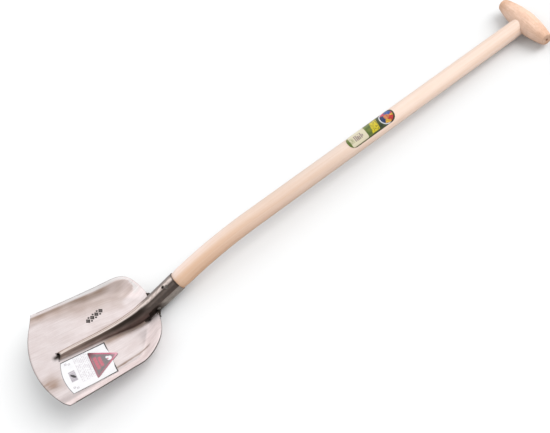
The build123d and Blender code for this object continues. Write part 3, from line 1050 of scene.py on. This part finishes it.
def build_shaft():
    """The ash stem, coped over the crossbar."""
    runs = [-SEAT_DEPTH, -75.0, -SOCKET_LENGTH, -50.0, -30.0, -12.0, -4.0, 0.0]
    runs += [ENTRY * i / 8 for i in range(1, 9)]
    runs += list(np.linspace(ENTRY + 4, LAST_STRAIGHT, 120))
    points, grain, tints = [], [], []

    def add(run, angle, radius, lift, shade_by):
        points.append(shaft_point(run, angle, lift))
        grain.append(grain_at(radius, angle, run))
        tints.append(shaft_tint(run, angle) * shade_by)

    for run in runs:
        for angle in turns(STEM_AROUND):
            add(run, angle, shaft_radius(run), 0.0, 1.0)
    radius = shaft_radius(SHAFT_RUN)
    for i in range(1, COPE_STEPS + 1):
        for angle in turns(STEM_AROUND):
            bar = bar_profile(radius * math.sin(angle))
            stop = SHAFT_RUN - math.sqrt(bar ** 2 - (radius * math.cos(angle)) ** 2) + 0.3
            rounded = -0.5 * ease_in(i - COPE_STEPS, -1.5, 1.5)
            run = mix(LAST_STRAIGHT, stop, i / COPE_STEPS)
            add(run, angle, radius, rounded, 0.90 if i == COPE_STEPS else 1.0)
    faces = grid_faces(len(runs) + COPE_STEPS, STEM_AROUND, closed=True)
    faces.append(tuple(range(STEM_AROUND)))
    return build_wooden("shaft_stem", points, faces, grain, tints, 50)


WHITE_WASH = Vector((1.0, 1.0, 1.0))
LOW_WASH = Vector((0.95, 0.87, 0.80))
# painted shade on the near side and underneath the shaft
NEAR_SHADE = Vector((0.90, 0.84, 0.80))
UNDER_SHADE = Vector((0.80, 0.70, 0.62))
SOCKET_WASH = Vector((0.74, 0.60, 0.50))
# black: painted shade on the wood inside the socket
INSIDE_WOOD = Vector((0.02, 0.016, 0.013))
END_GRAIN = Vector((0.80, 0.70, 0.60))
BAR_WASH = Vector((0.78, 0.66, 0.55))
# painted shade in the lathe dimples
DIMPLE_SHADE = Vector((0.36, 0.26, 0.20))
DIMPLE = ((1.6, 0.0), (1.5, 1.4), (0.5, 2.3), (0.15, 3.2))  # depth, radius
# painted light and shade on the wood by the socket, in the middle and by the grip, on the far side and on
# the near side
FAR_SIDE_PAINTED_LIGHT = (Vector((1.09, 1.22, 1.42)), Vector((0.87, 0.90, 0.93)), Vector((0.91, 0.88, 0.86)))
NEAR_SIDE_PAINTED_LIGHT = (Vector((0.91, 0.84, 0.74)), Vector((0.92, 0.90, 0.88)), Vector((1.09, 1.09, 1.09)))


def shaft_tint(run, angle):
    """Black inside the socket, as painted shade; outside pale at the grip and tanner low down, with painted
    shade on the near side and underneath and painted light and shade by side along the run.
    """
    if run < -2.0:
        return INSIDE_WOOD
    low = ease_out(run, 0, 560)
    near = ease_in(-math.sin(angle + 0.35), -0.15, 1.1)
    tint = mix(WHITE_WASH, LOW_WASH, low * 0.8)
    shaded = Vector([c * n for c, n in zip(tint, NEAR_SHADE)])
    tint = mix(tint, shaded, near * (0.35 + 0.65 * low))
    tint = mix(tint, UNDER_SHADE, 0.5 * ease_in(-math.cos(angle), 0.1, 1))
    tint = mix(tint, SOCKET_WASH, 0.75 * ease_out(run, 0, 5))
    far_side, near_side = (mix(mix(low_end, middle, ease_in(run, 0, 260)), top, ease_in(run, 380, 200))
                           for low_end, middle, top in (FAR_SIDE_PAINTED_LIGHT, NEAR_SIDE_PAINTED_LIGHT))
    wash = mix(far_side, near_side, ease_in(-math.sin(angle), -0.55, 1.5))
    return Vector([c * w for c, w in zip(tint, wash)])


def build_tenon():
    """End grain of the tenon on the outside of the crossbar, with the saw cut for its wedge."""
    points, faces, grain, tints = [], [], [], []
    columns = 19
    for half in (-1, 1):
        first = len(points)
        for share in TENON_LEVELS:
            for i in range(columns):
                angle = math.pi * i / (columns - 1)
                y = TENON_RADIUS * share * math.cos(angle)
                across = half * max(TENON_RADIUS * share * math.sin(angle), KERF / 2)
                out = math.sqrt(bar_profile(y) ** 2 - across ** 2) + (0.0 if share == 1 else 0.28)
                points.append(GRIP_CENTRE + SIDE * y + GRIP_UP * across + GRIP_DIR * out)
                grain.append((y * MM, across * MM, 0.0))
                tints.append(END_GRAIN)
        made = [(a, d, c, b) for a, b, c, d in grid_faces(len(TENON_LEVELS), columns)]
        made.append(tuple(range((len(TENON_LEVELS) - 1) * columns, len(TENON_LEVELS) * columns)))
        faces += [tuple(first + k for k in face[::half]) for face in made]
    return build_wooden("shaft_tenon", points, faces, grain, tints, 40)


def bar_outline():
    """(distance along the bar, radius) from one end's centre to the other."""
    round_from = BAR_HALF - BAR_ROUND
    half = [(BAR_HALF - depth, r) for depth, r in DIMPLE]
    half += [(BAR_HALF, r) for r in (5.0, 7.0, bar_profile(BAR_HALF) - BAR_ROUND - 0.6)]
    for i in range(9):
        angle = math.pi / 2 * i / 8
        y = round_from + BAR_ROUND * math.cos(angle)
        half.append((y, bar_profile(round_from) - BAR_ROUND + BAR_ROUND * math.sin(angle)))
    for i in range(1, 25):
        y = round_from * (1 - i / 24)
        half.append((y, bar_profile(y)))
    return half + [(-y, r) for y, r in reversed(half[:-1])]


def bar_tint(y, angle, dimple, end):
    """Browner towards the ends, with painted shade underneath and darkest painted shade in the lathe
    dimples.
    """
    if dimple:
        return DIMPLE_SHADE
    toward_end = ease_in(abs(y), 34, 34) * (0.8 if y > 0 else 0.5)
    # painted shade underneath the bar
    under = ease_in(-math.cos(angle), -0.35, 1.3)
    tint = mix(WHITE_WASH, BAR_WASH, max(toward_end, under * 0.9))
    speck = 1 + 0.10 * wobble(y, math.degrees(angle) * 0.3, 7.0, 2.0)
    return (tint * 0.82 if end else tint) * speck


def build_grip():
    """The turned crossbar: a barrel with rounded ends and a small lathe dimple in each."""
    outline = bar_outline()
    around = 72
    points, grain, tints = [], [], []
    for y, radius in outline:
        radius = max(radius, 0.02)
        end = abs(y) > BAR_HALF - BAR_ROUND and radius < bar_profile(BAR_HALF) - 0.4
        dimple = end and radius < 2.6
        for angle in turns(around):
            points.append(GRIP_CENTRE + SIDE * y + spoke(angle, GRIP_UP, GRIP_DIR) * radius)
            grain.append(grain_at(radius, angle, y))
            tints.append(bar_tint(y, angle, dimple, end))
    faces = [f[::-1] for f in grid_faces(len(outline), around, closed=True)]
    return build_wooden("grip_bar", points, faces, grain, tints, 40)


# ---------------------------------------------------------------- labels

PRINT_LEVEL = 0.55          # printed paper, under strong lamps


def ink(red, green, blue):
    return srgb(red, green, blue) * PRINT_LEVEL


WHITE = ink(250, 249, 251)
PALE_INK = ink(222, 214, 221)
INK = ink(168, 163, 170)
DARK_INK_AND_EDGE_SHADOW = ink(52, 48, 50)
CARD_X = (61.5 - 47.5, 61.5 + 47.5)
CARD_Y = (-56.8 - 40.5, -56.8 + 40.5)
CARD_BULGE = 7.0
CARD_TEXT = (39.0, 68.0, -86.0, -19.0)      # low and high X, low and high Y
CARD_BLOCK = (20.0, 33.0, -72.0, -46.0)
CARD_RINGS = ((22.0, -25.0), (28.5, -28.0), (20.5, -85.0), (26.5, -89.0))
LINE_PITCH = 3.3


def words(along, line, seed):
    """True where a line of plain dashes has ink."""
    return noise.noise(Vector((along / 3.1, line * 7.3, seed))) > -0.12


def within(x, y, area):
    return area[0] < x < area[1] and area[2] < y < area[3]


def card_colour(x, y):
    """Plain card with pale dashes and a grey block, no lettering, with a thin dark painted shadow along its
    edges.
    """
    colour = WHITE * (1 + 0.04 * wobble(x, y, 12.0, 6.0))
    if within(x, y, CARD_TEXT):
        line = math.floor((x - CARD_TEXT[0]) / LINE_PITCH)
        in_line = (x - CARD_TEXT[0]) % LINE_PITCH < 1.6
        ragged = CARD_TEXT[2] + 9.0 * (0.5 + 0.5 * wobble(line * 9.0, 0.0, 4.0, 2.0))
        if in_line and y > ragged and words(y, line, 1.0):
            colour = PALE_INK
    if within(x, y, CARD_BLOCK):
        bars = noise.noise(Vector((y / 1.6, 4.0, 0.0))) > 0.05
        colour = INK if bars else mix(INK, PALE_INK, 0.75)
        if bump_at(x, 27, 7) * bump_at(y + (x - 27) * 0.9, -59, 5.5) > 0.25:
            colour = DARK_INK_AND_EDGE_SHADOW
    if any(1.0 < max(abs(x - cx), abs(y - cy)) < 2.2 for cx, cy in CARD_RINGS):
        colour = mix(INK, PALE_INK, 0.4)
    # painted shadow along the card's edges, heaviest towards high X
    bow = 1 - ((y - CARD_Y[0]) / (CARD_Y[1] - CARD_Y[0]) * 2 - 1) ** 2
    strong = ease_in(x, 55, 45)
    line = max(ease_out(CARD_Y[1] - y - 0.6 * strong, 1.7, 0.6),
               ease_out(CARD_X[1] - x - 2.0 * ease_in(abs(y + 57), 12, 14), 0, 0.6),
               ease_out(y - CARD_Y[0] - 1.2 * strong, 0.7, 0.6) * (0.5 + 0.5 * strong),
               0.75 * ease_out(x - CARD_X[0] + CARD_BULGE * bow, 0.9, 0.6))
    return mix(colour, DARK_INK_AND_EDGE_SHADOW, line)


def build_print(name, points, faces, colours, thickness):
    """A thin printed sheet."""
    sheet = make_object(name, points, faces)
    add_colours(sheet, "print", colours)
    weld = sheet.modifiers.new("tip", "WELD")
    weld.merge_threshold = 0.00002
    thicken(sheet, thickness, 0)
    return settle(sheet)


def build_card():
    rows, columns = 210, 174
    points, colours = [], []
    for i in range(rows):
        for j in range(columns):
            down, across = i / (rows - 1), j / (columns - 1)
            y = mix(CARD_Y[0], CARD_Y[1], across)
            x = mix(CARD_X[0] - CARD_BULGE * (1 - (2 * across - 1) ** 2), CARD_X[1], down)
            edge = min(down, 1 - down, across, 1 - across)
            curl = 0.35 * ease_out(edge, 0, 0.1) * (0.6 + 0.4 * wobble(x, y, 25.0, 8.0))
            points.append((x, y, sheet_height(x, y) + 0.32 + curl))
            colours.append(card_colour(x, y))
    return build_print("blade_label_card", points, grid_faces(rows, columns), colours, 0.25)


TRIANGLE = (Vector((69.0, -22.0, 0)), Vector((125.0, -55.5, 0)), Vector((68.0, -91.0, 0)))
PINK = ink(214, 104, 130)
PALE_PINK = ink(238, 176, 190)
FILM_GREY = ink(134, 122, 125)
FILM_RED = ink(222, 106, 126)
BLOOD = ink(104, 28, 44)
BARS = ((78.0, -73.0, -39.0), (86.5, -70.0, -43.0))         # X, low and high Y
SPOTS = ((WHITE, 104.5, -57.3, 4.4), (WHITE, 100.5, -52.8, 2.0),   # X, Y, radius
         (PINK, 101.3, -57.0, 1.0))


def side_distances(p):
    """Distance inside each side of the triangle."""
    found = []
    for a, b in zip(TRIANGLE, (*TRIANGLE[1:], TRIANGLE[0])):
        edge = (b - a).normalized()
        found.append(abs(edge.x * (p.y - a.y) - edge.y * (p.x - a.x)))
    return found


def triangle_colour(x, y):
    """Grey film with a blurred pink border, two plain red bars and a plain white spot."""
    p = Vector((x, y, 0))
    colour = FILM_GREY * (1 + 0.06 * wobble(x, y, 5.0, 3.0))
    for bar_x, low, high in BARS:
        bar = 0.85 * ease_out(abs(x - bar_x), 2.2, 2.2) * ease_in(y, low, 3) * ease_in(high - y, 0, 2.5)
        colour = mix(colour, FILM_RED, bar * (0.85 + 0.3 * wobble(x, y, 2.5, bar_x)))
    for spot, spot_x, spot_y, radius in SPOTS:
        colour = mix(colour, spot, ease_out(math.hypot(x - spot_x, y - spot_y), radius, 1.2))
    border = ease_out(min(side_distances(p)), 1.2, 4)
    lower = ease_in(-y, 62, 20)
    return layered(colour,
                   (mix(PINK, FILM_GREY * 1.1, 0.55 * lower), 0.9 * border),
                   (PALE_PINK, ease_in(x, 106, 15) * (0.35 + 0.65 * border)),
                   (BLOOD, bump_at((p - TRIANGLE[0]).length, 3, 21)),
                   (FILM_GREY * 0.45, 0.7 * ease_out(x, 69.5, 2) * (1 - lower)))


def build_triangle():
    steps = 120
    tip, right, low = TRIANGLE
    centre = (tip + right + low) / 3
    points, colours = [], []
    for i in range(steps + 1):
        for j in range(steps + 1):
            p = tip.lerp(low.lerp(right, j / steps), i / steps)
            pull = 1.6 * ease_out(min((p - c).length for c in TRIANGLE), 0, 6)
            p = p + (centre - p).normalized() * pull
            lift = 0.72 + 0.5 * ease_in(p.x, 112, 12)
            points.append((p.x, p.y, sheet_height(p.x, p.y) + lift))
            colours.append(triangle_colour(p.x, p.y))
    faces = [f[::-1] for f in grid_faces(steps + 1, steps + 1)]
    return build_print("triangle_film", points, faces, colours, 0.15)


STICKER_RUN = (493.0 - 56.0, 493.0 + 56.0)
STICKER_TURN = math.radians(-10.0)
STICKER_REACH = math.radians(52.5)
STICKER_CORNER = 15.0
BADGE_RUN = 532.0
BADGE_RADIUS = 16.0
CREAM = ink(236, 226, 196)
OLIVE = ink(120, 132, 52)
LEAF = ink(80, 104, 30)
DARK_OLIVE = ink(56, 60, 26)
BLACK_GREEN = ink(34, 44, 22)
YELLOW = ink(226, 204, 30)
BUFF = ink(206, 196, 160)
DASH_BROWN = ink(150, 130, 128)
BADGE_WHITE = ink(232, 232, 240)
RED = ink(206, 52, 50)
ROSE = ink(204, 58, 96)
BLUE = ink(40, 84, 160)
NAVY = ink(26, 50, 96)
GOLD = ink(228, 176, 60)
# the badge's patches, each up to an angle in degrees
WEDGES = ((20, ROSE), (95, BLUE), (140, ROSE), (245, NAVY), (285, GOLD), (345, RED),
          (math.inf, GOLD))
PANEL = (446.5, 478.0)      # where the cream panel's straight edges start and end
PANEL_TEXT = (454.0, 474.0, -7.5, 6.5)
PANEL_PITCH = 3.4


def badge_colour(along, across):
    """A round badge of plain coloured patches with a white rim."""
    radius = math.hypot(along, across)
    if radius > BADGE_RADIUS - 2.0:
        return mix(BLACK_GREEN, BADGE_WHITE, ease_in(-along, -4, 8))
    turn = math.degrees(math.atan2(across, along)) % 360 + 24.0 * wobble(along, across, 4.0, 2.6)
    colour = next(patch for limit, patch in WEDGES if turn < limit)
    if radius < 5.5:
        colour = mix(ROSE, GOLD, 0.5 + 0.5 * wobble(along, across, 2.5, 7.7))
    return colour * (1 + 0.5 * wobble(along, across, 2.2, 5.5))


def panel_colour(run, arc, outside):
    """The cream panel, with plain dashes and a green smudge at its end."""
    colour = mix(CREAM, BUFF, smooth_step(outside + 1.2))
    if within(run, arc, PANEL_TEXT):
        line = math.floor((run - PANEL_TEXT[0]) / PANEL_PITCH)
        if (run - PANEL_TEXT[0]) % PANEL_PITCH < 2.3 and words(arc * 0.5, line, 3.0):
            colour = DASH_BROWN
    if run < 452.0 and abs(arc) < 7.0:
        colour = mix(colour, OLIVE, 0.35 + 0.5 * wobble(run, arc, 3.0, 1.0))
    return colour


def sticker_colour(run, arc, width):
    """Patches along the sticker; arc is the distance round from its middle, towards the far side."""
    if math.hypot(run - BADGE_RUN, arc) < BADGE_RADIUS:
        return badge_colour(run - BADGE_RUN, arc)
    across = max(abs(arc - 1.0) - (width - 4.5), 0.0)
    ahead = max(PANEL[0] - run, run - PANEL[1], 0.0)
    outside = math.hypot(across, ahead) - 3.5
    if outside < 0:
        return panel_colour(run, arc, outside)
    ground = mix(LEAF, OLIVE, 0.5 + 0.9 * wobble(run, arc, 6.0, 6.0))
    ground = mix(ground, BLACK_GREEN, ease_in(run, 500, 12) * (0.75 + 0.4 * wobble(run, arc, 4.0, 4.0)))
    ground = mix(ground, DARK_OLIVE, 0.85 * ease_in(abs(arc) - width, -4.5, 3.5))
    band = ease_in(run - 0.25 * arc, 493, 2) * ease_in(0.15 * arc - run, -511, 2)
    band = band * ease_in(width - abs(arc), 3, 2)
    letters = smooth_step((wobble(run * 1.3, arc, 3.0, 7.0) + 0.28) * 5.0)
    return mix(ground, YELLOW, band * (0.25 + 0.75 * letters))


def build_sticker():
    """The printed sticker that wraps the front of the shaft, with round corners."""
    rows, columns = 250, 96
    points, colours = [], []
    for i in range(rows):
        run = mix(STICKER_RUN[0], STICKER_RUN[1], i / (rows - 1))
        end = min(run - STICKER_RUN[0], STICKER_RUN[1] - run, STICKER_CORNER)
        inset = STICKER_CORNER - math.sqrt(STICKER_CORNER ** 2 - (STICKER_CORNER - end) ** 2)
        radius = shaft_radius(run)
        for j in range(columns):
            angle = (STICKER_REACH - inset / radius) * (2 * j / (columns - 1) - 1)
            points.append(shaft_point(run, STICKER_TURN + angle, 0.30))
            colour = sticker_colour(run, radius * angle, radius * STICKER_REACH)
            border = j < 2 or j > columns - 3 or i < 2 or i > rows - 3
            colours.append(colour * 0.6 if border else colour)
    return build_print("shaft_sticker_print", points, grid_faces(rows, columns), colours, 0.22)


# ---------------------------------------------------------------- studio

CAMERA_PLACE = Vector((-0.00285, -1.2301, 1.5566))
CAMERA_FORWARD = Vector((-0.02218, 0.62225, -0.78251))
CAMERA_RIGHT = Vector((0.79559, -0.46300, -0.39074))
CAMERA_LENS = 63.66
SENSOR = 36.0
CAMERA_RANGE = (0.05, 60.0)
FLOOR_HALF = 30.0
FLOOR_GAP = 0.0005


def build_camera():
    data = bpy.data.cameras.new("camera")
    camera = add_object("camera", data)
    up = CAMERA_RIGHT.cross(CAMERA_FORWARD)
    turn = Matrix((CAMERA_RIGHT, up, -CAMERA_FORWARD)).transposed()
    camera.matrix_world = Matrix.Translation(CAMERA_PLACE) @ turn.to_4x4()
    data.lens = CAMERA_LENS
    data.sensor_width = SENSOR
    data.clip_start, data.clip_end = CAMERA_RANGE
    bpy.context.scene.camera = camera


def build_floor():
    corners = [(x * FLOOR_HALF, y * FLOOR_HALF, 0) for x, y in ((-1, -1), (1, -1), (1, 1), (-1, 1))]
    mesh = bpy.data.meshes.new("floor")
    mesh.from_pydata(corners, [], [(0, 1, 2, 3)])
    floor = add_object("floor", mesh)
    floor.location.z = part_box("grip")[0].z - FLOOR_GAP
    floor.data.materials.append(floor_material())


def add_light(name, kind, place, target, **settings):
    """A light aimed at target; metal doesn't mirror it."""
    data = bpy.data.lights.new(name, kind)
    for setting, value in settings.items():
        setattr(data, setting, value)
    light = add_object(name, data)
    light.location = place
    light.rotation_mode = "QUATERNION"
    light.rotation_quaternion = (Vector(target) - Vector(place)).to_track_quat("-Z", "Y")
    light.visible_glossy = False


KEY = dict(place=(1.9, -0.85, 2.0), target=(0, 0, 0), energy=2.9, angle=0.75)
FILL = dict(place=(-0.6, -2.6, 0.9), target=(-0.5, 0.0, 0.0),
            shape="RECTANGLE", size=2.2, size_y=1.2, energy=8.0)
DIM_SIDE = 0.80             # radiance of the light tent on the near side
BRIGHT_SIDE = 1.50          # and on the far side
SKIRT = 1.05                # and at least this round the horizon
TENT_COLOUR = (0.990, 0.997, 1.0, 1.0)


def build_lights():
    """A white light tent with a white skirt, brighter on the far side, and two lamps."""
    add_light("key", "SUN", **KEY)
    add_light("fill", "AREA", **FILL)
    world = bpy.data.worlds.new("studio")
    world.use_nodes = True
    tree = world.node_tree
    direction = tree.nodes.new("ShaderNodeTexCoord").outputs["Generated"]
    tent = map_range(tree, axis_of(tree, direction, "Y"),
                     from_min=-0.10, from_max=0.45, to_min=DIM_SIDE, to_max=BRIGHT_SIDE)
    tent.interpolation_type = "SMOOTHSTEP"
    skirt = map_range(tree, axis_of(tree, direction, "Z"),
                      from_min=0.10, from_max=0.20, to_min=SKIRT, to_max=0.0)
    strength = combine(tree, "MAXIMUM", tent.outputs["Result"], skirt.outputs["Result"])
    tree.nodes["Background"].inputs["Color"].default_value = TENT_COLOUR
    tree.links.new(strength, tree.nodes["Background"].inputs["Strength"])
    bpy.context.scene.world = world
    bpy.context.scene.view_settings.view_transform = "Standard"


# ---------------------------------------------------------------- assembly

def dress(made, material, slot, *nodes):
    """Gives a piece its material and hides the CAD nodes it stands for; the slot is not used."""
    made.data.materials.clear()
    made.data.materials.append(material)
    if nodes:
        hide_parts(*nodes)


def dress_node(name, material):
    node = frame["nodes"][name]
    node.data.materials.clear()
    node.data.materials.append(material)
    shade(node, 35)


def add_grain(node_name):
    """Grain coordinates for a CAD node of wood, along the shaft."""
    node = frame["nodes"][node_name]
    add_vectors(node, "grain", [(v.co.y, v.co.z, v.co.x) for v in node.data.vertices])
    add_colours(node, "tint", [(1, 1, 1)] * len(node.data.vertices))


scale_steel = dark_steel("socket_steel", (0.17, 0.148, 0.135), (0.33, 0.29, 0.26),
                         dark_span=(-0.346, -0.318))
weld_steel = dark_steel("weld_steel", (0.02, 0.016, 0.014), (0.08, 0.062, 0.052), (0.45, 0.7))
# near-black steel for the stamp's mark
stamp_dark_steel = dark_steel("stamp_mark", (0.035, 0.030, 0.028), (0.075, 0.066, 0.062), (0.5, 0.7))
nail_steel = dark_steel("nail_steel", (0.09, 0.08, 0.07), (0.24, 0.215, 0.20))
ash = wood("ash_wood", srgb(204, 188, 178), srgb(200, 178, 162), (0.94, 0.91, 0.88), 0.011, 0.00006)
bar_wood = wood("grip_wood", srgb(206, 178, 160), srgb(192, 160, 140), (0.82, 0.74, 0.66),
                0.009, 0.00008)
wedge_wood = wood("wedge_wood", srgb(176, 134, 96), srgb(150, 108, 74), (0.7, 0.6, 0.5), 0.004, 0.00008)

build_camera()
dress(build_blade(), brushed_steel(), "blade_steel", "blade")
dress_node("socket_back", scale_steel)
for nail in ("socket_nail", "left_side_nail", "right_side_nail"):
    dress_node(nail, nail_steel)
for seed, (weld_name, (path, radius)) in enumerate(weld_paths().items()):
    dress(build_bead(weld_name, path, radius, seed), weld_steel, "socket_steel")
for side, web_name in ((-1, "web_near"), (1, "web_far")):
    dress(build_web(web_name, side), weld_steel, "socket_steel")
dress(build_stamp(), stamp_dark_steel, "socket_steel")
dress(build_shaft(), ash, "ash_wood", "shaft")
dress(build_tenon(), ash, "ash_wood")
dress(build_grip(), bar_wood, "grip_wood", "grip")
add_grain("tenon_wedge")
dress_node("tenon_wedge", wedge_wood)
dress(build_card(), printed("label_card"), "label_paper", "blade_label")
dress(build_triangle(), printed("label_film", (0.22, 0.34)), "sticker_film", "triangle_sticker")
dress(build_sticker(), printed("shaft_label", (0.30, 0.42)), "sticker_paper", "shaft_sticker")
build_floor()
build_lights()
